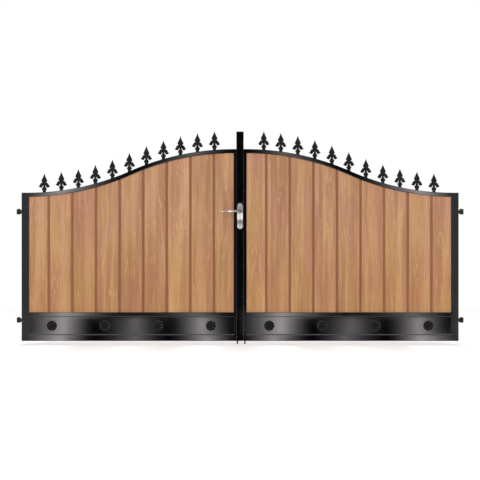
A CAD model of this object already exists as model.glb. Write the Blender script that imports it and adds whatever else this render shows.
"""Looks of a pair of bow-topped driveway gates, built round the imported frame.

X runs along the gate, Y from the front face to the rear, Z up; lengths are in metres.
"""

import math
import random

import bmesh
import bpy
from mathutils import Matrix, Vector


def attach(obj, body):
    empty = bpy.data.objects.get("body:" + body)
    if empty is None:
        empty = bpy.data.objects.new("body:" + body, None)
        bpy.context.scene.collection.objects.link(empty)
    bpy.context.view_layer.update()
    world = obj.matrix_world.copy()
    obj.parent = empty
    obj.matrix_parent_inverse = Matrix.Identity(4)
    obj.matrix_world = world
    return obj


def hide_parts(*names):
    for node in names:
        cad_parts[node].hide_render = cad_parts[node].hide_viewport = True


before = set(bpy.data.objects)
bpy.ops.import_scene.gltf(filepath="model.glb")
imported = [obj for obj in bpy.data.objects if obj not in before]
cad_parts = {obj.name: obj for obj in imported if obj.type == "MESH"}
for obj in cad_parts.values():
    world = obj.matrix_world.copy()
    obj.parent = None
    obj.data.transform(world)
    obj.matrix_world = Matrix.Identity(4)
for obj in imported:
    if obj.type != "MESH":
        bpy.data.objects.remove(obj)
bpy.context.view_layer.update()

# Sizes that the frame's solids were built from, for the right leaf; the left one is its mirror image

# Along the gate: the leaf and the opening inside its frame
LEAF_OUT = 1.788
LEAF_IN = 0.03075
OPEN_OUT = 1.728
OPEN_IN = 0.05075
SPAN = OPEN_OUT - OPEN_IN

# Heights: the frame's underside, the feet of kick panel, middle rail and boards, and the frame's lowest and
# highest top
FRAME_Z = 0.028
KICK_Z = 0.078
MID_Z = 0.228
BOARDS_Z = 0.259
LOW_Z = 1.241
HIGH_Z = 1.598

# Front and rear of the frame, and the radius that rounds its sections
FRONT_Y = -0.025
REAR_Y = 0.025
EDGE_R = 0.003

# The bowed rail: an arc that falls from the crown and one that sweeps up to it, met halfway
RAIL_H = 0.030
RISE = HIGH_Z - LOW_Z
SWEEP_PAST = 0.019
BOW_SPAN = SPAN + SWEEP_PAST
RAIL_R = (BOW_SPAN * BOW_SPAN + RISE * RISE) / (4 * RISE)
RAIL_ANGLE = math.asin(BOW_SPAN / (2 * RAIL_R))
RAIL_END_ANGLE = math.asin(SWEEP_PAST / (RAIL_R + RAIL_H))
CROWN_X, CROWN_Z = OPEN_IN, HIGH_Z - RAIL_R
SWEEP_X, SWEEP_Z = OPEN_OUT + SWEEP_PAST, LOW_Z + RAIL_R

# Boards, their sunk strips and tongues, and the screws of the rear angle
BOARD_COUNT = 9
BOARD_PITCH = 0.193
BOARD_Y = -0.015
BOARD_BACK = 0.005
BOARD_GAP = 0.001
BOARD_EASE = 0.0022
REVEAL_Y = -0.008
REVEAL_W = 0.021
TONGUE_T = 0.006
TONGUE_L = 0.007
TONGUE_END_GAP = 0.001
TONGUE_GAP = 0.0003
SCREW_SEAT_Y = 0.008
SCREW_INSET = 0.009

# Kick panel, rosettes and finials
KICK_Y = -0.022
ROSETTES = [(OPEN_IN + OPEN_OUT) / 2 + 0.434 * (i - 1.5) for i in range(4)]
ROSETTE_Z = 0.153
ROSETTE_R = 0.043
FINIAL_FIRST = {"left": 0.210, "right": 0.194}
FINIAL_PITCH = 0.1393
FINIAL_COUNT = 11
FINIAL_FOOT = (0.0133, 0.0117)

# Lock post, handle plates, levers and their screws
POST_X0, POST_X1 = -0.03075, 0.02925
POST_HALF = 0.030
POST_Z0, POST_Z1 = 0.031, 1.738
LOCK_X = -0.00075
LEVER_Z = 1.090
PLATE_HALF, PLATE_TOP, PLATE_FOOT = 0.023, 0.0665, -0.1465
PLATE_FACE = 0.039
PLATE_SCREWS = (0.042, -0.116)
NECK_R = 0.0100
GRIP_Y = 0.077
LEVER_L = 0.163
LEVER_BEND = 0.016
LEVER_TIP = 0.0035

# Drop bolts: the rod, the bend to its handle, the stop collar as radius and height, and where the rods stand
ROD_R = 0.006
ROD_TOP = 0.560
ROD_BEND = 0.018
ROD_REACH = 0.070
COLLAR = [(ROD_R, 0.1601), (0.0074, 0.1601), (0.0080, 0.1607),
          (0.0080, 0.1673), (0.0074, 0.1680), (ROD_R, 0.1680)]
RODS = {"left": (-0.02225, 0.040), "right": (0.03925, 0.035)}

# Hinges: the pin, the inner side of the bracket's plate and the room round the eye
PIN_X, PIN_Y = 1.811, 0.013
HINGE_ZS = (0.198, 1.085)
PLATE_INNER = 1.8245
EYE_R = 0.0111
EYE_ROOM = 0.0005
SADDLE_HALF = 0.016


# ---- mesh helpers ----

def smooth(low, high, value):
    """Share from 0 at low to 1 at high, with an easy start and end."""
    t = min(max((value - low) / (high - low), 0), 1)
    return t * t * (3 - 2 * t)


def rounded_rect(half_a, half_b, radius, steps=4):
    """Points of a rectangle with round corners, anticlockwise."""
    points = []
    for sign_a, sign_b, start in ((1, 1, 0), (-1, 1, 90), (-1, -1, 180), (1, -1, 270)):
        for k in range(steps + 1):
            angle = math.radians(start + 90 * k / steps)
            points.append((sign_a * (half_a - radius) + radius * math.cos(angle),
                           sign_b * (half_b - radius) + radius * math.sin(angle)))
    return points


def superellipse(half_a, half_b, power, count=24):
    """Points of a closed oval: power 2 is an ellipse, 1 a diamond and 4 nearly a square."""
    points = []
    for k in range(count):
        c, s = math.cos(2 * math.pi * k / count), math.sin(2 * math.pi * k / count)
        points.append((half_a * math.copysign(abs(c) ** (2 / power), c),
                       half_b * math.copysign(abs(s) ** (2 / power), s)))
    return points


def loft(bm, rings, cap=True):
    """Skins closed rings of points one after the other and caps both ends."""
    made = [[bm.verts.new(p) for p in ring] for ring in rings]
    count = len(made[0])
    for low, high in zip(made, made[1:]):
        for k in range(count):
            n = (k + 1) % count
            bm.faces.new((low[k], low[n], high[n], high[k]))
    if cap:
        bm.faces.new(made[0][::-1])
        bm.faces.new(made[-1])
    return made


def sweep(bm, section, path, ups, cap=True):
    """Lofts a section of (across, up) points along a path, square to it at every point."""
    rings = []
    for i, at in enumerate(path):
        ahead = (path[min(i + 1, len(path) - 1)] - path[max(i - 1, 0)]).normalized()
        up = ups[i]
        across = ahead.cross(up).normalized()
        points = section(i) if callable(section) else section
        rings.append([at + across * a + up * b for a, b in points])
    return loft(bm, rings, cap)


def add_object(name, bm, mat, body, nodes=(), sharp=35, mirror=False, flats=True):
    """Makes an object of the mesh, gives it its material and sets it riding on its body in place of the nodes.

    With mirror it is flipped to the left leaf, and flats keep its flat faces evenly lit.
    """
    if mirror:
        bmesh.ops.scale(bm, vec=(-1, 1, 1), verts=bm.verts)
    bmesh.ops.recalc_face_normals(bm, faces=bm.faces)
    mesh = bpy.data.meshes.new(name)
    bm.to_mesh(mesh)
    bm.free()
    mesh.shade_smooth()
    mesh.set_sharp_from_angle(angle=math.radians(sharp))
    mesh.materials.append(mat)
    obj = bpy.data.objects.new(name, mesh)
    bpy.context.collection.objects.link(obj)
    if flats:
        weigh = obj.modifiers.new("flats", "WEIGHTED_NORMAL")
        weigh.mode = "FACE_AREA"
        weigh.weight = 90
        weigh.keep_sharp = True
    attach(obj, body)
    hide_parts(*nodes)
    return obj


def paint(obj, name, values, kind="FLOAT"):
    """Gives each vertex a value or a vector, which the material reads by its name."""
    layer = obj.data.attributes.new(name, kind, "POINT")
    layer.data.foreach_set("vector" if kind == "FLOAT_VECTOR" else "value", values)


def eased(node, width, mat, body, steps=2, angle=30):
    """Stands for a CAD node: its own shape with the sharp edges rounded."""
    bm = bmesh.new()
    bm.from_mesh(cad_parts[node].data)
    bmesh.ops.remove_doubles(bm, verts=bm.verts, dist=2e-6)
    bmesh.ops.dissolve_limit(bm, angle_limit=math.radians(0.4), verts=bm.verts, edges=bm.edges)
    sharp = [e for e in bm.edges if e.is_manifold and e.calc_face_angle() > math.radians(angle)]
    bmesh.ops.bevel(bm, geom=sharp, offset=width, offset_type="OFFSET", segments=steps,
                    profile=0.5, affect="EDGES", clamp_overlap=True)
    return add_object(f"{node}_eased", bm, mat, body, [node], sharp=25)


def curve_z(x, drop):
    """Height of the top rail's curve at x, moved down square to the curve by drop."""
    if x < CROWN_X + (RAIL_R - drop) * math.sin(RAIL_ANGLE):
        return CROWN_Z + math.sqrt((RAIL_R - drop) ** 2 - (x - CROWN_X) ** 2)
    return SWEEP_Z - math.sqrt((RAIL_R + drop) ** 2 - (SWEEP_X - x) ** 2)


def curve_point(t, drop):
    """Point and upward normal on the rail's curve, with t from 0 at the middle to 1 at the hinge side."""
    if t < 0.5:
        angle = RAIL_ANGLE * t * 2
        normal = Vector((math.sin(angle), 0, math.cos(angle)))
        return Vector((CROWN_X, 0, CROWN_Z)) + normal * (RAIL_R - drop), normal
    angle = RAIL_END_ANGLE + (RAIL_ANGLE - RAIL_END_ANGLE) * (1 - t) * 2
    normal = Vector((math.sin(angle), 0, math.cos(angle)))
    return Vector((SWEEP_X, 0, SWEEP_Z)) - normal * (RAIL_R + drop), normal


def board_edge(i):
    """Where board i begins, counted from the middle of the gate; the first and last share what is left over."""
    end_w = (SPAN - (BOARD_COUNT - 2) * BOARD_PITCH) / 2
    if i == 0:
        return OPEN_IN
    return OPEN_OUT if i == BOARD_COUNT else OPEN_IN + end_w + (i - 1) * BOARD_PITCH


def board_limits(i):
    """Where the face of board i starts and ends."""
    start = OPEN_IN + BOARD_GAP if i == 0 else board_edge(i) + REVEAL_W / 2
    end = OPEN_OUT - BOARD_GAP if i == BOARD_COUNT - 1 else board_edge(i + 1) - REVEAL_W / 2
    return start, end


# ---- material helpers ----

def put(tree, kind, inputs=None, **settings):
    """Adds a node; inputs maps sockets to values or to the sockets that feed them."""
    made = tree.nodes.new(kind)
    for key, value in settings.items():
        setattr(made, key, value)
    for key, value in (inputs or {}).items():
        if isinstance(value, bpy.types.NodeSocket):
            tree.links.new(value, made.inputs[key])
        else:
            made.inputs[key].default_value = value
    return made


def material(name, color, metallic, roughness, specular):
    """A material with its plain values set on the shader itself."""
    mat = bpy.data.materials.new(name)
    mat.use_nodes = True
    shader = mat.node_tree.nodes["Principled BSDF"]
    shader.inputs["Base Color"].default_value = (*color, 1)
    shader.inputs["Metallic"].default_value = metallic
    shader.inputs["Roughness"].default_value = roughness
    shader.inputs["Specular IOR Level"].default_value = specular
    return mat, mat.node_tree, shader


def stretched(tree, coords, scale):
    """Coordinates times a scale for each axis."""
    return put(tree, "ShaderNodeVectorMath", {0: coords, 1: scale}, operation="MULTIPLY").outputs[0]


def noise(tree, coords, scale, detail=3.0, rough=0.55):
    """Noise whose scale may differ along X, Y and Z."""
    if isinstance(scale, tuple):
        coords, scale = stretched(tree, coords, scale), 1.0
    return put(tree, "ShaderNodeTexNoise",
               {"Vector": coords, "Scale": scale, "Detail": detail, "Roughness": rough}).outputs[0]


def spread(tree, value, low, high, to_low=0.0, to_high=1.0):
    """Maps low to high smoothly onto another range."""
    return put(tree, "ShaderNodeMapRange",
               {"Value": value, "From Min": low, "From Max": high, "To Min": to_low, "To Max": to_high},
               interpolation_type="SMOOTHSTEP").outputs[0]


def maths(tree, operation, a, b=0.0):
    """One step of arithmetic on two values."""
    return put(tree, "ShaderNodeMath", {0: a, 1: b}, operation=operation).outputs[0]


def times(tree, a, b):
    """The product of two values."""
    return maths(tree, "MULTIPLY", a, b)


def weighted(tree, *terms):
    """The sum of (value, weight) pairs."""
    total = times(tree, *terms[0])
    for value, weight in terms[1:]:
        total = maths(tree, "ADD", total, times(tree, value, weight))
    return total


# Places of the mix node's colour sockets
MIX_FACTOR, MIX_A, MIX_B, MIX_RESULT = 0, 6, 7, 2


def mix_colors(tree, factor, a, b, mode="MIX"):
    """Blends two colours, each a socket or a tuple of three."""
    colors = {MIX_FACTOR: factor, MIX_A: a, MIX_B: b}
    inputs = {k: (*v, 1) if isinstance(v, tuple) else v for k, v in colors.items()}
    return put(tree, "ShaderNodeMix", inputs, data_type="RGBA", blend_type=mode).outputs[MIX_RESULT]


def bump(tree, shader, height, strength, distance):
    """Gives a shader a relief of the height's shape."""
    made = put(tree, "ShaderNodeBump", {"Height": height, "Strength": strength, "Distance": distance})
    tree.links.new(made.outputs["Normal"], shader.inputs["Normal"])


def here(tree):
    """Coordinates of the object, in metres."""
    return put(tree, "ShaderNodeTexCoord").outputs["Object"]


def painted(tree, name):
    """A value that the mesh carries under a name."""
    return put(tree, "ShaderNodeAttribute", attribute_name=name).outputs["Fac"]


def seen_directly(tree):
    """1 for a ray from the camera, off gloss or through glass, and 0 for a ray that only lights."""
    rays = put(tree, "ShaderNodeLightPath").outputs
    return maths(tree, "MAXIMUM", rays["Is Camera Ray"],
                 maths(tree, "MAXIMUM", rays["Is Glossy Ray"], rays["Is Transmission Ray"]))


# ---- materials ----

def powder_coat():
    """Gloss black powder coat: nearly black, with orange peel and a slow unevenness of gloss."""
    mat, tree, shader = material("powder_coat", (0.002, 0.002, 0.0022), 0, 0.2, 0.34)
    at = here(tree)
    cloud = noise(tree, at, 9.0, 2.0)
    tree.links.new(mix_colors(tree, cloud, (0.0008, 0.0008, 0.0009), (0.0020, 0.0020, 0.0023)),
                   shader.inputs["Base Color"])
    tree.links.new(spread(tree, cloud, 0.3, 0.7, 0.07, 0.10), shader.inputs["Roughness"])
    bump(tree, shader, noise(tree, at, 260.0, 2.0), 0.02, 0.0005)
    return mat


def casting():
    """Painted casting: pitted, greyer where "wear" is above 0 and dark in its hollows, where it is below."""
    mat, tree, shader = material("casting", (0.008, 0.008, 0.009), 0, 0.4, 0.07)
    at = here(tree)
    pits = noise(tree, at, 330.0, 4.0, 0.6)
    cloud = noise(tree, at, 40.0, 3.0)
    wear = painted(tree, "wear")
    paint = mix_colors(tree, cloud, (0.0050, 0.0050, 0.0055), (0.0130, 0.0130, 0.0142))
    rubbed = mix_colors(tree, pits, (0.080, 0.080, 0.083), (0.150, 0.150, 0.157))
    color = mix_colors(tree, wear, paint, rubbed)
    hollow = times(tree, wear, -1.0)
    color = mix_colors(tree, hollow, color, (0.0010, 0.0010, 0.0011))
    tree.links.new(color, shader.inputs["Base Color"])
    tree.links.new(spread(tree, hollow, 0.0, 1.0, 0.07, 0.012), shader.inputs["Specular IOR Level"])
    tree.links.new(spread(tree, pits, 0.3, 0.7, 0.32, 0.48), shader.inputs["Roughness"])
    bump(tree, shader, pits, 0.35, 0.0008)
    return mat


RINGS_PER_METRE = 48
WOOD_STOPS = ((0.38, (0.345, 0.165, 0.080)), (0.47, (0.410, 0.211, 0.105)),
              (0.54, (0.475, 0.255, 0.132)), (0.64, (0.550, 0.318, 0.172)))


def wood():
    """Oiled boards: long soft streaks, a faint flame figure, fibres, pale and dark flecks and a sunk strip."""
    mat, tree, shader = material("oiled_boards", (0.48, 0.25, 0.12), 0, 0.55, 0.3)
    at = put(tree, "ShaderNodeAttribute", attribute_name="grain").outputs["Vector"]
    tone = painted(tree, "tone")
    axes = put(tree, "ShaderNodeSeparateXYZ", {0: at}).outputs
    height = put(tree, "ShaderNodeSeparateXYZ", {0: here(tree)}).outputs[2]
    fibre = noise(tree, at, (430.0, 430.0, 14.0), 3.0, 0.6)
    streak = noise(tree, at, (34.0, 34.0, 1.5), 4.0, 0.55)
    thread = noise(tree, at, (95.0, 95.0, 4.2), 3.0, 0.55)
    drift = noise(tree, at, (5.0, 5.0, 1.1), 2.0)
    broad = spread(tree, noise(tree, at, (14.0, 14.0, 0.9), 2.0), 0.3, 0.7)
    hue = spread(tree, noise(tree, at, (6.0, 6.0, 1.8), 2.0), 0.3, 0.7)
    pith = noise(tree, at, (0.1, 0.1, 0.9), 1.0)

    # Year rings round a wandering pith, which lies behind the board's face
    across = maths(tree, "ADD", axes[0], spread(tree, drift, 0.2, 0.8, -0.03, 0.03))
    deep = spread(tree, pith, 0.25, 0.75, 0.005, 0.13)
    far = maths(tree, "SQRT", maths(tree, "ADD", times(tree, across, across), times(tree, deep, deep)))
    phase = weighted(tree, (far, 2 * math.pi * RINGS_PER_METRE), (streak, 5.0))
    rings = spread(tree, maths(tree, "SINE", phase), -1.0, 1.0)

    # The figure picks a colour of the oiled wood
    figure = weighted(tree, (rings, 0.03), (fibre, 0.18), (streak, 0.36), (thread, 0.27), (broad, 0.18))
    ramp = put(tree, "ShaderNodeValToRGB", {0: figure})
    ramp.color_ramp.elements.remove(ramp.color_ramp.elements[1])
    for k, (place, color) in enumerate(WOOD_STOPS):
        stop = ramp.color_ramp.elements[0] if k == 0 else ramp.color_ramp.elements.new(place)
        stop.position = place
        stop.color = (*color, 1)

    # Pale and dark flecks, in patches
    patch = noise(tree, at, (14.0, 14.0, 4.0), 2.0)
    pale = times(tree, spread(tree, noise(tree, at, (120.0, 120.0, 12.0), 2.0), 0.54, 0.68),
                 spread(tree, patch, 0.50, 0.62))
    dark = times(tree, spread(tree, noise(tree, at, (140.0, 140.0, 10.0), 2.0), 0.58, 0.74),
                 spread(tree, patch, 0.52, 0.38))
    color = mix_colors(tree, times(tree, pale, 0.75), ramp.outputs[0], (0.66, 0.40, 0.20))
    color = mix_colors(tree, times(tree, dark, 0.6), color, (0.270, 0.115, 0.055))

    # Slow changes of hue along a board, over the gate's height and from board to board
    shift = spread(tree, noise(tree, at, (3.0, 3.0, 0.8), 1.0), 0.3, 0.7)
    color = mix_colors(tree, times(tree, shift, 0.35), color, (0.48, 0.245, 0.112))
    by_patch = mix_colors(tree, hue, (1.0, 0.925, 1.0), (1.0, 1.055, 0.905))
    color = mix_colors(tree, 1.0, color, by_patch, "MULTIPLY")
    by_height = mix_colors(tree, spread(tree, height, 0.35, 1.25), (0.93, 0.90, 0.745), (0.933, 0.926, 0.98))
    color = mix_colors(tree, 1.0, color, by_height, "MULTIPLY")
    color = mix_colors(tree, tone, color, (0.86, 0.82, 0.79), "MULTIPLY")

    # The oil lies darker in the sunk strip, but not on the boards' backs
    sunk = times(tree, spread(tree, axes[1], BOARD_Y + 0.0012, BOARD_Y + 0.005),
                 spread(tree, axes[1], BOARD_BACK - 0.006, BOARD_BACK - 0.002, 1.0, 0.0))
    color = mix_colors(tree, times(tree, sunk, 0.9), color, (0.225, 0.085, 0.038))
    tree.links.new(color, shader.inputs["Base Color"])
    tree.links.new(spread(tree, fibre, 0.3, 0.7, 0.48, 0.64), shader.inputs["Roughness"])
    bump(tree, shader, maths(tree, "ADD", fibre, times(tree, rings, 0.3)), 0.25, 0.0006)
    return mat


def steel(name, color, rough_low, rough_high, brush):
    """Bare or plated steel with fine brushing; "shade" above 0 makes a spot darker and warmer."""
    mat, tree, shader = material(name, color, 0.55, rough_low, 0.5)
    at = here(tree)
    lines = noise(tree, at, brush, 3.0, 0.6)
    cloud = noise(tree, at, 60.0, 2.0)
    dark = tuple(c * 0.82 for c in color)
    shadow = tuple(c * share for c, share in zip(color, (0.17, 0.145, 0.14)))
    bare = mix_colors(tree, cloud, dark, color)
    tree.links.new(mix_colors(tree, painted(tree, "shade"), bare, shadow), shader.inputs["Base Color"])
    tree.links.new(spread(tree, lines, 0.3, 0.7, rough_low, rough_high), shader.inputs["Roughness"])
    bump(tree, shader, lines, 0.12, 0.0003)
    return mat


black = powder_coat()
cast = casting()
timber = wood()
stainless = steel("polished_steel", (0.80, 0.79, 0.78), 0.16, 0.28, (60.0, 60.0, 1400.0))
zinc = steel("zinc_plate", (0.50, 0.51, 0.53), 0.32, 0.48, (300.0, 300.0, 300.0))


# ---- frames ----

def straight(name, low, high, along, body, node, mirror=False, ends=0.001):
    """Box section with rounded long edges, its ends eased by ends or cut square where that is 0."""
    a, b = [k for k in range(3) if k != along]
    half = [(high[k] - low[k]) / 2 for k in range(3)]
    middle = [(high[k] + low[k]) / 2 for k in range(3)]
    rings = []
    places = [(low[along], 0), (high[along], 0)]
    if ends:
        places = [(low[along], ends), (low[along] + ends, 0), (high[along] - ends, 0), (high[along], ends)]
    for place, inset in places:
        ring = []
        for p, q in rounded_rect(half[a] - inset, half[b] - inset, EDGE_R):
            at = [0, 0, 0]
            at[a], at[b], at[along] = middle[a] + p, middle[b] + q, place
            ring.append(at)
        rings.append(ring)
    bm = bmesh.new()
    loft(bm, rings)
    add_object(name, bm, black, body, [node], mirror=mirror)


def top_rail(side):
    """The bowed rail: one rounded section swept along both arcs and run a little into the stiles."""
    steps = 96
    section = [(a, b - RAIL_H / 2) for a, b in rounded_rect(REAR_Y, RAIL_H / 2, EDGE_R)]
    path, ups = [], []
    for k in range(steps + 1):
        point, normal = curve_point(k / steps, 0)
        path.append(point)
        ups.append(normal)
    path = [path[0] - Vector((EDGE_R, 0, 0)), *path, path[-1] + Vector((EDGE_R, 0, 0))]
    ups = [ups[0], *ups, ups[-1]]
    bm = bmesh.new()
    sweep(bm, section, path, ups)
    add_object(f"{side}_rail_bowed", bm, black, f"{side}_leaf", [f"{side}_top_rail"],
               mirror=side == "left")


# Outlines of the kick panel's weld beads as y and z, and how far each is rubbed
FOOT_BEAD = [(-0.0215, 0.0770), (-0.0245, 0.0750), (-0.0250, 0.0757), (-0.0250, 0.0780), (-0.0243, 0.0805),
             (-0.0232, 0.0828), (-0.0221, 0.0840), (-0.0215, 0.0840)]
TOP_BEAD = [(-0.0215, 0.2252), (-0.0224, 0.2252), (-0.0236, 0.2260), (-0.0246, 0.2275), (-0.0250, 0.2292),
            (-0.0245, 0.2305), (-0.0215, 0.2290)]
BEADS = ((FOOT_BEAD, 0.5), (TOP_BEAD, 0.35))


def welds(side):
    """Weld beads along the foot and the top of the kick panel."""
    bm = bmesh.new()
    rubbed = []
    for profile, wear in BEADS:
        loft(bm, [[(x, y, z) for y, z in profile] for x in (OPEN_IN, OPEN_OUT)])
        rubbed += [wear] * (2 * len(profile))
    obj = add_object(f"{side}_welds", bm, cast, f"{side}_leaf", mirror=side == "left")
    paint(obj, "wear", rubbed)


def board(side, i, rng):
    """One board: eased face, sunk strip with its tongue, and a grooved edge, its top cut to the rail."""
    x0, x1 = board_limits(i)
    ease = BOARD_EASE
    columns = [x0 + ease + (x1 - x0 - 2 * ease) * k / 12 for k in range(13)]
    turn = [math.radians(90 * k / 4) for k in range(5)]
    outline = [(x0 + ease - ease * math.cos(t), BOARD_Y + ease - ease * math.sin(t)) for t in turn[:-1]]
    outline += [(x, BOARD_Y) for x in columns]
    outline += [(x1 - ease + ease * math.sin(t), BOARD_Y + ease - ease * math.cos(t)) for t in turn[1:]]
    if i < BOARD_COUNT - 1:
        tip = x1 + REVEAL_W + TONGUE_L
        outline += [(x, REVEAL_Y) for x in (x1, x1 + REVEAL_W / 2, x1 + REVEAL_W, tip)]
        outline += [(x, REVEAL_Y + TONGUE_T) for x in (tip, x1 + REVEAL_W, x1 + REVEAL_W / 2, x1)]
    outline += [(x1, BOARD_BACK - ease), (x1 - ease / 3, BOARD_BACK - ease / 3)]
    outline += [(x, BOARD_BACK) for x in columns[::-1]]
    outline += [(x0 + ease / 3, BOARD_BACK - ease / 3), (x0, BOARD_BACK - ease)]
    if i > 0:
        groove = x0 + TONGUE_L + TONGUE_END_GAP
        rear, front = REVEAL_Y + TONGUE_T + TONGUE_GAP, REVEAL_Y - TONGUE_GAP
        outline += [(x0, rear), (groove, rear), (groove, front), (x0, front)]
    bm = bmesh.new()
    low = [(x, y, BOARDS_Z + BOARD_GAP) for x, y in outline]
    high = [(x, y, curve_z(x, RAIL_H + BOARD_GAP)) for x, y in outline]
    loft(bm, [[(a[0], a[1], a[2] + (b[2] - a[2]) * k / 6) for a, b in zip(low, high)] for k in range(7)])
    obj = add_object(f"{side}_timber_{i + 1}", bm, timber, f"{side}_leaf", [f"{side}_board_{i + 1}"],
                     sharp=50, mirror=side == "left")

    # Each board is cut from its own place in the wood and has its own tone
    middle = (x0 + x1) / 2 * (-1 if side == "left" else 1)
    at = Vector((rng.uniform(-0.035, 0.035) - middle, 0, rng.uniform(0, 40)))
    tone = rng.uniform(0, 0.75)
    paint(obj, "grain", [c for v in obj.data.vertices for c in v.co + at], "FLOAT_VECTOR")
    paint(obj, "tone", [tone] * len(obj.data.vertices))


# A pan head as radius and height, and the cross on it: half length, half width and corner, and its two levels
PAN_HEAD = [(0.0040, 0.0), (0.0040, 0.0009), (0.0037, 0.0016), (0.0028, 0.0021), (0.0016, 0.0024)]
CROSS_BAR = (0.0018, 0.0003, 0.00015)
CROSS_UP = (0.00241, 0.00246)


def screws(side):
    """Pan-head screws with a cross recess, through the rear angle into the boards."""
    bm = bmesh.new()
    for i in range(BOARD_COUNT):
        x = sum(board_limits(i)) / 2
        for z in (BOARDS_Z + SCREW_INSET, curve_z(x, RAIL_H + SCREW_INSET)):
            loft(bm, [[(x + r * math.cos(t), SCREW_SEAT_Y + up, z + r * math.sin(t))
                       for t in (2 * math.pi * k / 16 for k in range(16))] for r, up in PAN_HEAD])
            turn = (i * 37 + z * 900) % 90
            for lean in (turn, turn + 90):
                c, s = math.cos(math.radians(lean)), math.sin(math.radians(lean))
                loft(bm, [[(x + a * c - b * s, SCREW_SEAT_Y + up, z + a * s + b * c)
                           for a, b in rounded_rect(*CROSS_BAR, 2)] for up in CROSS_UP])
    add_object(f"{side}_panheads", bm, zinc, f"{side}_leaf", [f"{side}_board_screws"],
               mirror=side == "left")


# ---- castings ----

# A finial in millimetres. Stem and head: height, half width, half depth and roundness of the section
STEM = [
    (-6, 13.2, 11.6, 5), (7, 13.2, 11.6, 5), (9.5, 13.6, 12, 3.2), (11.5, 12.8, 11.6, 2.2), (14, 15.6, 12.2, 2),
    (17, 18.6, 12.8, 1.8), (21, 20.4, 13.4, 1.7), (25, 20.8, 13.6, 1.6), (29, 19.6, 12.8, 1.65),
    (34, 16.0, 11.2, 1.8), (39.5, 12.0, 9.6, 2), (46, 9.4, 8, 2), (55, 8.5, 7.2, 2), (62, 9.6, 7, 2),
    (68, 12.5, 7.8, 2.1), (73, 16, 8.8, 2.3), (76.5, 18, 8.8, 2.4), (79, 18.2, 8.2, 2.2), (80.8, 17.2, 7.9, 2),
    (83, 19.2, 8.6, 1.8), (85.5, 21.6, 9.2, 1.6), (88.5, 24.2, 9.8, 1.45), (91.5, 25.0, 10.1, 1.35),
    (96.8, 23.4, 9.6, 1.25), (103.6, 20.6, 8.6, 1.2), (111.4, 16.8, 7.4, 1.2), (120.3, 12.6, 5.8, 1.2),
    (130.1, 8.1, 4.2, 1.25), (141, 3.9, 2.4, 1.5), (148.5, 1.6, 1.3, 1.8), (152.4, 0.5, 0.5, 2)]
# A drooping leaf: its upper edge, its lower edge and its half depth
ARM = [
    ((4, 78), (4, 56), 6.0), ((13, 78.2), (9.6, 54.5), 6.8), ((19, 77.9), (12.2, 49.8), 7.2),
    ((23, 76.8), (14.9, 45.1), 7.4), ((26.8, 75.6), (18.2, 40.4), 7.4), ((30.6, 71.7), (22, 36.9), 7.2),
    ((33.9, 66.3), (26.2, 35.5), 6.8), ((37, 60.4), (31, 36.7), 6.0), ((40, 54.9), (36.2, 39.4), 4.8),
    ((43.3, 50.9), (41.6, 42.5), 3.2), ((46.4, 49.0), (46.2, 44.8), 1.6)]


def finial_mesh():
    """A cast spear: collared stem, bulb and ribbed head, with a drooping leaf on each side."""
    bodies = [bmesh.new()]
    loft(bodies[0], [[(x / 1000, y / 1000, z / 1000) for x, y in superellipse(a, b, power, 32)]
                     for z, a, b, power in STEM])
    for side in (-1, 1):
        rings = []
        for upper, lower, depth in ARM:
            middle = (Vector(upper) + Vector(lower)) / 2
            half = (Vector(upper) - Vector(lower)) / 2
            ring = []
            for a, b in superellipse(1, 1, 1.6, 20):
                p = middle + half * a
                ring.append((side * p[0] / 1000, depth * b / 1000, p[1] / 1000))
            rings.append(ring)
        bodies.append(bmesh.new())
        loft(bodies[-1], rings)
    objects = []
    for k, bm in enumerate(bodies):
        bmesh.ops.recalc_face_normals(bm, faces=bm.faces)
        mesh = bpy.data.meshes.new(f"finial_part_{k}")
        bm.to_mesh(mesh)
        bm.free()
        objects.append(bpy.data.objects.new(mesh.name, mesh))
        bpy.context.collection.objects.link(objects[-1])
    for other in objects[1:]:
        union = objects[0].modifiers.new("join", "BOOLEAN")
        union.operation = "UNION"
        union.solver = "EXACT"
        union.object = other
    bm = bmesh.new()
    bm.from_mesh(objects[0].evaluated_get(bpy.context.evaluated_depsgraph_get()).to_mesh())
    bmesh.ops.remove_doubles(bm, verts=bm.verts, dist=2e-5)
    mesh = bpy.data.meshes.new("finial")
    bm.to_mesh(mesh)
    bm.free()
    for obj in objects:
        bpy.data.objects.remove(obj)
    return mesh


# The weld round a finial's foot: how far it stands out and how high it reaches
FOOT_WELD = ((0.0, 0.0038), (0.0012, 0.0022), (0.0032, 0.0006), (0.0036, -0.0008))


def finials(side, template):
    """One row of finials, upright on the rail, each with a small weld round its foot."""
    bm = bmesh.new()
    sign = -1 if side == "left" else 1
    half_a, half_b = FINIAL_FOOT
    for k in range(FINIAL_COUNT):
        x = FINIAL_FIRST[side] + k * FINIAL_PITCH
        foot = curve_z(x, 0)
        start = len(bm.verts)
        bm.from_mesh(template)
        bm.verts.ensure_lookup_table()
        bmesh.ops.translate(bm, vec=(sign * x, 0, foot), verts=bm.verts[start:])
        slope = (curve_z(x + 0.001, 0) - curve_z(x - 0.001, 0)) / 0.002
        loft(bm, [[(sign * (x + a), b, foot + up + slope * a)
                   for a, b in rounded_rect(half_a + grow, half_b + grow, EDGE_R + grow, 3)]
                  for grow, up in FOOT_WELD], cap=False)
    add_object(f"{side}_cast_finials", bm, cast, f"{side}_leaf", [f"{side}_finials"],
               sharp=42, flats=False)


def petal(angle, count):
    """Place across the nearest petal, from -1 to 1, for a ring of petals."""
    turn = (angle / (2 * math.pi) * count) % 1
    return 2 * turn - 1


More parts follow.
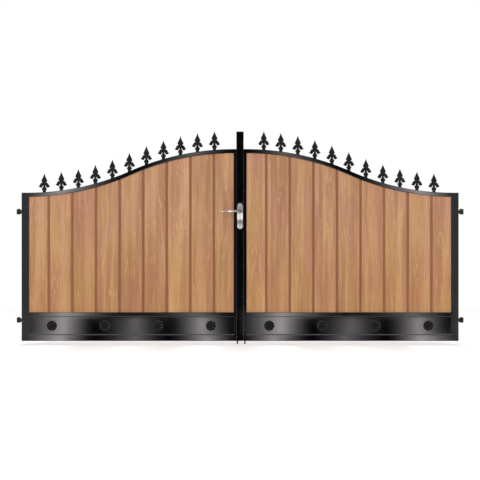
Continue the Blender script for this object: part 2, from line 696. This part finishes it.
def cupped(u, v):
    """Height, up to 1, of a petal with a raised rim and a hollow middle, and how far that spot is rubbed."""
    away = math.sqrt(u * u + v * v)
    rim = math.exp(-((away - 0.93) / 0.13) ** 2)
    rubbed = smooth(0.84, 0.92, away) * smooth(1.12, 1.02, away)
    return max(rim, 0.2 * smooth(1.1, 0.85, away)), 1.3 * rubbed - smooth(0.91, 0.81, away)


# Rings of a rosette's petals: middle and half length as shares of the radius, how many, where one begins,
# how high they stand in millimetres and how bright their rims are rubbed
ROSETTE_TURN = math.radians(15)
OUTER_PETALS = 8
ROSETTE_RINGS = ((0.720, 0.245, OUTER_PETALS, ROSETTE_TURN, 3.6, 0.7),
                 (0.320, 0.160, 6, math.radians(48), 4.2, 0.28))
# Thickness of a rosette's disc and height of its knob in millimetres, and the knob's share of the radius
DISC_T, KNOB_H, KNOB_R = 2.2, 5.0, 0.17


def rosette_height(r, angle):
    """Height of the casting above its back at a share r of its radius, and how far that spot is rubbed."""
    high, wear = DISC_T, 0.0
    for middle, half_length, count, turn, rise, shine in ROSETTE_RINGS:
        lift, rubbed = cupped((r - middle) / half_length, petal(angle - turn, count))
        if DISC_T + rise * lift > high:
            high, wear = DISC_T + rise * lift, min(rubbed, rubbed * shine)
    wear += 0.35 * smooth(0.90, 0.96, r) - 0.5 * smooth(0.98, 1.0, r)
    if r < KNOB_R:
        dome = math.sqrt(max(0.0, 1 - (r / KNOB_R) ** 2))
        high, wear = max(high, DISC_T + KNOB_H * dome), max(wear, 0.15 * dome)
    return high / 1000, max(wear, -1.0)


def rosettes(side):
    """Cast flowers on the kick panel: eight cupped outer petals, six inner ones and a knob, turned alike."""
    around, inward = 200, 48
    hand = -1 if side == "left" else 1
    bm = bmesh.new()
    rubbed = []
    for x in ROSETTES:
        rubbed += [0.0] * around
        rings = []
        for k in range(inward + 1):
            r = 1 - 0.985 * k / inward
            ring = []
            for t in range(around):
                angle = 2 * math.pi * t / around
                lobe = math.sqrt(max(0.0, 1 - (petal(angle - ROSETTE_TURN, OUTER_PETALS) / 1.02) ** 2))
                reach = ROSETTE_R * r * (1 - 0.03 * (1 - lobe) * smooth(0.6, 1.0, r))
                height, wear = rosette_height(r, angle)
                rubbed.append(wear)
                ring.append((x + hand * reach * math.cos(angle), KICK_Y - height,
                             ROSETTE_Z + reach * math.sin(angle)))
            rings.append(ring)
        back = [(p[0], KICK_Y + 0.0002, p[2]) for p in rings[0]]
        loft(bm, [back, *rings])
    obj = add_object(f"{side}_cast_rosettes", bm, cast, f"{side}_leaf", [f"{side}_rosettes"],
                     sharp=60, mirror=side == "left", flats=False)
    paint(obj, "wear", rubbed)


# ---- lock ----

def stadium(half_w, top, bottom, steps=14, sides=22):
    """Outline of an upright plate with half-round ends, as x and z about the lever's axis."""
    high, low = top - half_w, bottom + half_w
    points = [(half_w * math.cos(t), high + half_w * math.sin(t))
              for t in (math.pi * k / steps for k in range(steps + 1))]
    points += [(-half_w, high + (low - high) * k / sides) for k in range(1, sides)]
    points += [(half_w * math.cos(t), low + half_w * math.sin(t))
               for t in (math.pi * (1 + k / steps) for k in range(steps + 1))]
    points += [(half_w, low + (high - low) * k / sides) for k in range(1, sides)]
    return points


def disc_rings(x, z, sign, profile, count=32):
    """Rings of a turned shape whose axis runs along Y; profile holds radius and distance in front."""
    return [[(x + r * math.cos(2 * math.pi * k / count), sign * y, z + r * math.sin(2 * math.pi * k / count))
             for k in range(count)] for r, y in profile]


# How far the steel mirrors something darker, at places along the lever and up the handle plate
LEVER_SHADE = [(-0.158, 0.3), (-0.142, 0.4), (-0.130, 0.86), (-0.100, 0.82), (-0.086, 0.25), (-0.062, 0.25),
               (-0.048, 0.6), (-0.030, 0.68), (-0.020, 1.0)]
PLATE_SHADE = [(-0.142, 0.6), (-0.120, 0.66), (-0.106, 0.75), (-0.098, 0.95), (-0.074, 0.93), (-0.064, 0.2),
               (-0.040, 0.15), (-0.022, 0.25), (-0.010, 0.8), (0.040, 0.87), (0.062, 0.8)]


def look_up(at, table):
    """Value at a place, straight between the places of a table."""
    if at <= table[0][0]:
        return table[0][1]
    for (low, a), (high, b) in zip(table, table[1:]):
        if at <= high:
            return a + (b - a) * (at - low) / (high - low)
    return table[-1][1]


def shade_steel(obj, value):
    """Gives each vertex the shade that a function of its place returns."""
    paint(obj, "shade", [value(v.co) for v in obj.data.vertices])


# The plate's rolled edge as inset and distance in front of the post's middle, where the crowned field begins,
# and the collar round the lever as radius and distance
PLATE_EDGE = [(0.0, POST_HALF), (0.0, 0.0352), (0.0005, 0.0368), (0.0016, 0.0380), (0.0030, 0.0383),
              (0.0042, 0.0376), (0.0048, 0.0373)]
FIELD_INSET, FIELD_Y = PLATE_EDGE[-1]
PLATE_COLLAR = [(0.0158, 0.0375), (0.0158, 0.0392), (0.0150, 0.0402), (0.0132, 0.0406), (0.0112, 0.0402),
                (0.0108, 0.0385)]


def handle_plates():
    """Both plates: a rolled edge, a groove inside it, a crowned field and a collar round the lever."""
    bm = bmesh.new()
    for sign in (-1, 1):
        rings = [[(LOCK_X + x, sign * y, LEVER_Z + z)
                  for x, z in stadium(PLATE_HALF - inset, PLATE_TOP - inset, PLATE_FOOT + inset)]
                 for inset, y in PLATE_EDGE]
        outline = stadium(PLATE_HALF - FIELD_INSET, PLATE_TOP - FIELD_INSET, PLATE_FOOT + FIELD_INSET)
        for k in range(1, 11):
            share = math.cos(math.pi / 2 * k / 10)
            y = sign * (FIELD_Y + (PLATE_FACE - FIELD_Y) * (1 - share ** 2))
            ring = []
            for x, z in outline:
                spine = min(max(z, PLATE_FOOT + PLATE_HALF), PLATE_TOP - PLATE_HALF)
                ring.append((LOCK_X + x * share, y, LEVER_Z + spine + (z - spine) * share))
            rings.append(ring)
        loft(bm, rings, cap=False)
        loft(bm, disc_rings(LOCK_X, LEVER_Z, sign, PLATE_COLLAR), cap=False)
    bmesh.ops.remove_doubles(bm, verts=bm.verts, dist=2e-6)
    obj = add_object("handle_plates_polished", bm, stainless, "left_leaf", ["handle_plates"],
                     sharp=40, flats=False)
    under_lever = 0.0165
    shade_steel(obj, lambda p: max(look_up(p.z - LEVER_Z, PLATE_SHADE),
                                   0.9 * (math.hypot(p.x - LOCK_X, p.z - LEVER_Z) < under_lever)))


def lever_line():
    """The lever's middle line as (along, in front), with its half height and half depth at each point."""
    path, sizes = [], []
    for k in range(7):
        waist = NECK_R - 0.0016 * math.sin(math.pi * k / 6)
        path.append((0.0, POST_HALF + (GRIP_Y - LEVER_BEND - POST_HALF) * k / 6))
        sizes.append((waist, waist))
    for k in range(1, 9):
        t = math.pi / 2 * k / 8
        path.append((LEVER_BEND * (math.cos(t) - 1), GRIP_Y - LEVER_BEND + LEVER_BEND * math.sin(t)))
        sizes.append((0.0098 - 0.0007 * k / 8, 0.0098 - 0.0012 * k / 8))
    reach = LEVER_L - LEVER_BEND - LEVER_TIP
    for k in range(1, 25):
        t = k / 24
        path.append((-LEVER_BEND - reach * t, GRIP_Y + 0.0033 * math.sin(math.pi * t) - 0.004 * t * t))
        sizes.append((0.0091 - 0.0049 * t ** 1.3, 0.0086 - 0.0040 * t))
    tip_x, tip_y = path[-1]
    high, deep = sizes[-1]
    for k in range(1, 6):
        t = math.pi / 2 * k / 5
        path.append((tip_x - LEVER_TIP * math.sin(t), tip_y))
        sizes.append((max(high * math.cos(t), 0.0004), max(deep * math.cos(t), 0.0004)))
    return path, sizes


def lever_handles():
    """Both levers: a necked rose, an easy elbow and a grip that thins towards its tip."""
    path, sizes = lever_line()
    bm = bmesh.new()
    for sign in (-1, 1):
        sweep(bm, lambda i: superellipse(sizes[i][1], sizes[i][0], 2.2, 28),
              [Vector((LOCK_X + x, sign * y, LEVER_Z)) for x, y in path], [Vector((0, 0, 1))] * len(path))
    obj = add_object("levers_polished", bm, stainless, "lever", ["lever_handles"], sharp=60,
                     flats=False)
    shade_steel(obj, lambda p: look_up(p.x, LEVER_SHADE))


# A domed head as radius and distance in front, and its slot: half length, half width, corner and two levels
DOMED_HEAD = [(0.0046, 0.0380), (0.0046, 0.0390), (0.0042, 0.0399), (0.0032, 0.0406), (0.0018, 0.0410)]
SLOT_BAR = (0.0034, 0.0005, 0.0002)
SLOT_YS = (0.0400, 0.0411)


def plate_screws():
    """Domed slotted screws of the two handle plates."""
    bm = bmesh.new()
    for sign in (-1, 1):
        for z in (LEVER_Z + up for up in PLATE_SCREWS):
            loft(bm, disc_rings(LOCK_X, z, sign, DOMED_HEAD, 20))
            loft(bm, [[(LOCK_X + a, sign * y, z + b) for a, b in rounded_rect(*SLOT_BAR, 2)] for y in SLOT_YS])
    add_object("plate_screws_domed", bm, stainless, "left_leaf", ["handle_plate_screws"])


# ---- drop bolts and hinges ----

def drop_bolt(side):
    """Round rod with a chamfered foot, a stop collar and a handle bent to the side."""
    x, y = RODS[side]
    sign = -1 if side == "left" else 1
    path = [(0, 0), (0, 0.002), (0, COLLAR[-1][1]), (0, ROD_TOP)]
    radii = [0.7 * ROD_R, ROD_R, ROD_R, ROD_R]
    for k in range(1, 11):
        t = math.pi / 2 * k / 10
        path.append((ROD_BEND - ROD_BEND * math.cos(t), ROD_TOP + ROD_BEND * math.sin(t)))
        radii.append(ROD_R)
    path.append((ROD_BEND + ROD_REACH, ROD_TOP + ROD_BEND))
    radii.append(ROD_R)
    for k in range(1, 7):
        t = math.pi / 2 * k / 6
        path.append((ROD_BEND + ROD_REACH + ROD_R * math.sin(t), ROD_TOP + ROD_BEND))
        radii.append(max(ROD_R * math.cos(t), 0.0003))
    points = [Vector((x + sign * a, y, z)) for a, z in path]
    bm = bmesh.new()
    sweep(bm, lambda i: superellipse(radii[i], radii[i], 2, 24), points, [Vector((0, 1, 0))] * len(points))
    loft(bm, [[(x + r * math.cos(2 * math.pi * k / 28), y + r * math.sin(2 * math.pi * k / 28), z)
               for k in range(28)] for r, z in COLLAR], cap=False)
    add_object(f"{side}_rod", bm, black, f"{side}_bolt", [f"{side}_drop_bolt"], sharp=50)


# The forged root between an eye and its shank: place along the gate, half depth and half height
EYE_ROOT = [(1.8035, 0.0070, 0.0150), (1.7999, 0.0072, 0.0150), (1.7996, 0.0072, 0.0205),
            (1.7970, 0.0072, 0.0188), (1.7935, 0.0068, 0.0145), (1.7895, 0.0062, 0.0105)]


def hinge_fill(side):
    """Cast saddles behind the eyes, fixed to the brackets, and the forged roots, which turn with the leaf."""
    sign = -1 if side == "left" else 1
    saddles, roots = bmesh.new(), bmesh.new()
    hollow = EYE_R + EYE_ROOM
    bow = [math.asin(k / 8 * 0.0076 / hollow) for k in range(8, -9, -1)]
    horn = PIN_X + 0.0086
    outline = [(PLATE_INNER, -EYE_R), (PLATE_INNER, EYE_R), (horn, EYE_R)]
    outline += [(PIN_X + hollow * math.cos(t), hollow * math.sin(t)) for t in bow]
    outline.append((horn, -EYE_R))
    for pin_z in HINGE_ZS:
        loft(saddles, [[(sign * x, PIN_Y + y, pin_z + z) for x, y in outline]
                       for z in (-SADDLE_HALF, SADDLE_HALF)])
        loft(roots, [[(sign * x, PIN_Y + a, pin_z + b) for a, b in superellipse(deep, tall, 3, 24)]
                     for x, deep, tall in EYE_ROOT])
    add_object(f"{side}_saddles", saddles, black, "posts_side")
    add_object(f"{side}_eye_roots", roots, black, f"{side}_leaf")


# Outline of the soft seal between the leaves as x and y
LIP = [(0.0309, 0.0140), (0.0300, 0.0145), (POST_X1 + 0.0001, 0.0165), (POST_X1 + 0.0001, 0.0180),
       (0.0300, 0.0205), (0.0309, 0.0210)]


def lip():
    """Soft seal down the right leaf's edge that closes the gap between the leaves."""
    bm = bmesh.new()
    loft(bm, [[(x, y, z) for x, y in LIP] for z in (FRAME_Z + 0.004, HIGH_Z - 0.002)])
    add_object("closing_lip", bm, cast, "right_leaf")


# ---- build ----

rng = random.Random(63)
template = finial_mesh()
for side in ("left", "right"):
    body = f"{side}_leaf"
    flip = side == "left"
    straight(f"{side}_stile_outer", (OPEN_OUT, FRONT_Y, FRAME_Z), (LEAF_OUT, REAR_Y, LOW_Z), 2, body,
             f"{side}_hinge_stile", flip)
    for part, node, low, high in (("bottom", "bottom", FRAME_Z, KICK_Z), ("middle", "mid", MID_Z, BOARDS_Z)):
        straight(f"{side}_rail_{part}", (OPEN_IN - EDGE_R, FRONT_Y, low), (OPEN_OUT + EDGE_R, REAR_Y, high), 0,
                 body, f"{side}_{node}_rail", flip, ends=0)
    welds(side)
    top_rail(side)
    for i in range(BOARD_COUNT):
        board(side, i, rng)
    screws(side)
    finials(side, template)
    rosettes(side)
    for part, width in (("kick_panel", 0.0006), ("board_beads", 0.0006), ("eye_bolts", 0.0010),
                        ("hinge_nuts", 0.0012), ("drop_guides", 0.0005)):
        eased(f"{side}_{part}", width, black, body)
    hinge_fill(side)
    drop_bolt(side)
straight("left_stile_inner", (-OPEN_IN, FRONT_Y, FRAME_Z), (-LEAF_IN, REAR_Y, HIGH_Z), 2, "left_leaf",
         "left_meeting_stile")
eased("right_meeting_stile", 0.0018, black, "right_leaf", 3)
straight("lock_post_round", (POST_X0, -POST_HALF, POST_Z0), (POST_X1, POST_HALF, POST_Z1), 2, "left_leaf",
         "lock_post", ends=0.0003)
eased("lock_post_caps", 0.0012, cast, "left_leaf", 3)
eased("post_brackets", 0.0014, black, "posts_side", 3)
eased("hinge_pins", 0.0008, black, "posts_side")
lip()
handle_plates()
lever_handles()
plate_screws()
shade_steel(eased("lock_cylinder", 0.0004, stainless, "left_leaf"), lambda p: 0.8)
shade_steel(eased("cylinder_plug", 0.0004, stainless, "plug"), lambda p: 1.0)
eased("lock_keep", 0.0003, stainless, "right_leaf")
eased("dead_bolt", 0.0006, stainless, "bolt")
eased("lock_case", 0.0005, zinc, "left_leaf")

# These two lie inside the lock's case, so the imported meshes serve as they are
for node in ("lock_follower", "lever_spindle"):
    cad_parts[node].data.materials.clear()
    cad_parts[node].data.materials.append(zinc)


# ---- stage ----

# Cards in front of the gate that show in its gloss alone. Each band has the places along the gate of its
# inner edge, its peak and its outer edge, and its strength
VIEW_DISTANCE = 21.8
CARD_Y, CARD_HALF, LOW_CARD_HALF = -1.5, 1.81, 1.85
FLAG_NEAR_Y, FLAG_Z = -0.3, 0.004
FOOT_BANDS = [(1.205, 1.475, 1.904, 11.8), (0.575, 0.855, 1.202, 4.1), (0.009, 0.270, 0.583, 9.8)]
PANEL_BANDS = [(1.147, 1.447, 1.831, 10.5), (0.585, 0.857, 1.161, 3.8), (0.037, 0.300, 0.592, 9.2)]
HIGH_BANDS = [(0.899, 1.470, 1.920, 10.2), (0.009, 0.361, 0.871, 3.8)]
LEFT_PANEL_BANDS = [(-1.185, -1.445, -1.843, 11.6), (-0.590, -0.850, -1.190, 4.2),
                    (-0.048, -0.310, -0.590, 10.0)]
RIGHT_PANEL_BANDS = [(1.182, 1.460, 1.738, 9.2), (0.590, 0.910, 1.215, 4.3), (-0.064, 0.335, 0.598, 12.2)]
LEFT_RAIL_BANDS = [(-0.915, -1.430, -1.845, 11.0), (-0.025, -0.365, -0.935, 3.4)]
RIGHT_RAIL_BANDS = [(0.845, 1.400, 1.803, 3.4), (-0.067, 0.335, 0.885, 10.8)]
# Name, both ends along the gate, lower and upper edge, bands, and whether these count from the middle both ways
CARDS = [("card_foot", -LOW_CARD_HALF, LOW_CARD_HALF, -0.5, 0.025, FOOT_BANDS, True),
         ("card_panel_left", -LOW_CARD_HALF, 0, 0.025, 0.178, LEFT_PANEL_BANDS, False),
         ("card_panel_right", 0, LOW_CARD_HALF, 0.025, 0.178, RIGHT_PANEL_BANDS, False),
         ("card_rail_left", -LOW_CARD_HALF, 0, 0.178, 0.25, LEFT_RAIL_BANDS, False),
         ("card_rail_right", 0, LOW_CARD_HALF, 0.178, 0.25, RIGHT_RAIL_BANDS, False),
         ("card_low", -CARD_HALF, CARD_HALF, 0.25, 0.75, PANEL_BANDS, True),
         ("card_high", -CARD_HALF, CARD_HALF, 0.75, 2.6, HIGH_BANDS, True)]
FLOOR_HALF = 60


def plane(name, corners, mat):
    """A flat piece of the stage."""
    mesh = bpy.data.meshes.new(name)
    mesh.from_pydata(corners, [], [(0, 1, 2, 3)])
    mesh.materials.append(mat)
    obj = bpy.data.objects.new(name, mesh)
    bpy.context.collection.objects.link(obj)
    return obj


def strip_light(name, bands, both_ways):
    """Bands of light on black, each fading evenly in tone from its peak to both its edges.

    Their places are given on the gate, and a card that stands nearer to the viewer has them closer together.
    """
    mat = bpy.data.materials.new(name)
    mat.use_nodes = True
    tree = mat.node_tree
    tree.nodes.remove(tree.nodes["Principled BSDF"])
    places = put(tree, "ShaderNodeSeparateXYZ", {0: here(tree)}).outputs
    across = maths(tree, "ABSOLUTE", places[0]) if both_ways else places[0]
    widen = maths(tree, "ADD", times(tree, places[1], -1 / VIEW_DISTANCE), 1.0)
    across = maths(tree, "DIVIDE", across, widen)
    total = 0.0
    for inner, peak, outer, strength in bands:
        sides = [put(tree, "ShaderNodeMapRange", {"Value": across, "From Min": edge, "From Max": peak}).outputs[0]
                 for edge in (inner, outer)]
        tone = maths(tree, "POWER", times(tree, *sides), 2.2)
        total = maths(tree, "ADD", total, times(tree, tone, strength))
    shine = put(tree, "ShaderNodeEmission", {"Color": (1, 0.935, 0.965, 1), "Strength": total})
    tree.links.new(shine.outputs[0], tree.nodes["Material Output"].inputs["Surface"])
    return mat


def card(name, corners, bands, both_ways):
    """A card that only gloss sees."""
    obj = plane(name, corners, strip_light(f"{name}_light", bands, both_ways))
    obj.visible_camera = obj.visible_diffuse = obj.visible_shadow = obj.visible_transmission = False


for name, x0, x1, low, high, bands, both_ways in CARDS:
    card(name, [(x0, CARD_Y, low), (x1, CARD_Y, low), (x1, CARD_Y, high), (x0, CARD_Y, high)], bands, both_ways)
card("flag", [(x, y, FLAG_Z) for x, y in ((-CARD_HALF, CARD_Y), (CARD_HALF, CARD_Y), (CARD_HALF, FLAG_NEAR_Y),
                                          (-CARD_HALF, FLAG_NEAR_Y))], FOOT_BANDS, True)

ground, tree, shader = material("ground", (0.93, 0.93, 0.93), 0, 0.9, 0.1)
tree.links.new(mix_colors(tree, noise(tree, here(tree), 0.7, 2.0), (0.92, 0.92, 0.92), (0.94, 0.94, 0.94)),
               shader.inputs["Base Color"])
shader.inputs["Emission Color"].default_value = (1, 1, 1, 1)
far = put(tree, "ShaderNodeVectorMath", {0: here(tree)}, operation="LENGTH").outputs["Value"]
tree.links.new(times(tree, seen_directly(tree), spread(tree, far, 3.0, 14.0, 0.22, 0.58)),
               shader.inputs["Emission Strength"])
plane("floor", [(x * FLOOR_HALF, y * FLOOR_HALF, 0) for x, y in ((-1, -1), (1, -1), (1, 1), (-1, 1))], ground)

world = bpy.data.worlds.new("studio")
bpy.context.scene.world = world
world.use_nodes = True
tree = world.node_tree
tree.nodes.clear()
fill = put(tree, "ShaderNodeBackground", {"Color": (1, 1, 1, 1), "Strength": 0.45})
white = put(tree, "ShaderNodeBackground", {"Color": (1, 1, 1, 1), "Strength": 1.0})
both = put(tree, "ShaderNodeMixShader", {0: seen_directly(tree), 1: fill.outputs[0], 2: white.outputs[0]})
put(tree, "ShaderNodeOutputWorld", {"Surface": both.outputs[0]})


def lamp(name, at, aim, size, power):
    """Soft rectangular lamp that the gloss doesn't see."""
    data = bpy.data.lights.new(name, "AREA")
    data.shape = "RECTANGLE"
    data.size, data.size_y = size
    data.energy = power
    obj = bpy.data.objects.new(name, data)
    bpy.context.collection.objects.link(obj)
    obj.location = at
    obj.rotation_euler = (Vector(aim) - Vector(at)).to_track_quat("-Z", "Y").to_euler()
    obj.visible_glossy = False


lamp("key", (-4.0, -6.0, 5.0), (0, 0, 0.8), (4.0, 3.0), 260)
lamp("second", (4.5, -6.0, 3.6), (0, 0, 0.8), (4.0, 3.0), 200)
lamp("rear", (0.0, 6.0, 5.5), (0, 0, 0.9), (5.0, 3.0), 300)


# ---- camera ----

# Width of the view at the gate's middle plane, and the point that it is centred on
FRAME_WIDTH = 3.931
CENTRE_X, CENTRE_Z = -0.0008, 0.854
LENS, SENSOR = 200, 36
camera = bpy.data.cameras.new("camera")
camera.lens, camera.sensor_width = LENS, SENSOR
eye = bpy.data.objects.new("camera", camera)
bpy.context.collection.objects.link(eye)
eye.location = (CENTRE_X, -FRAME_WIDTH * LENS / SENSOR, CENTRE_Z)
eye.rotation_euler = (math.pi / 2, 0, 0)
camera.clip_end = 200
bpy.context.scene.camera = eye
bpy.context.scene.view_settings.view_transform = "Standard"
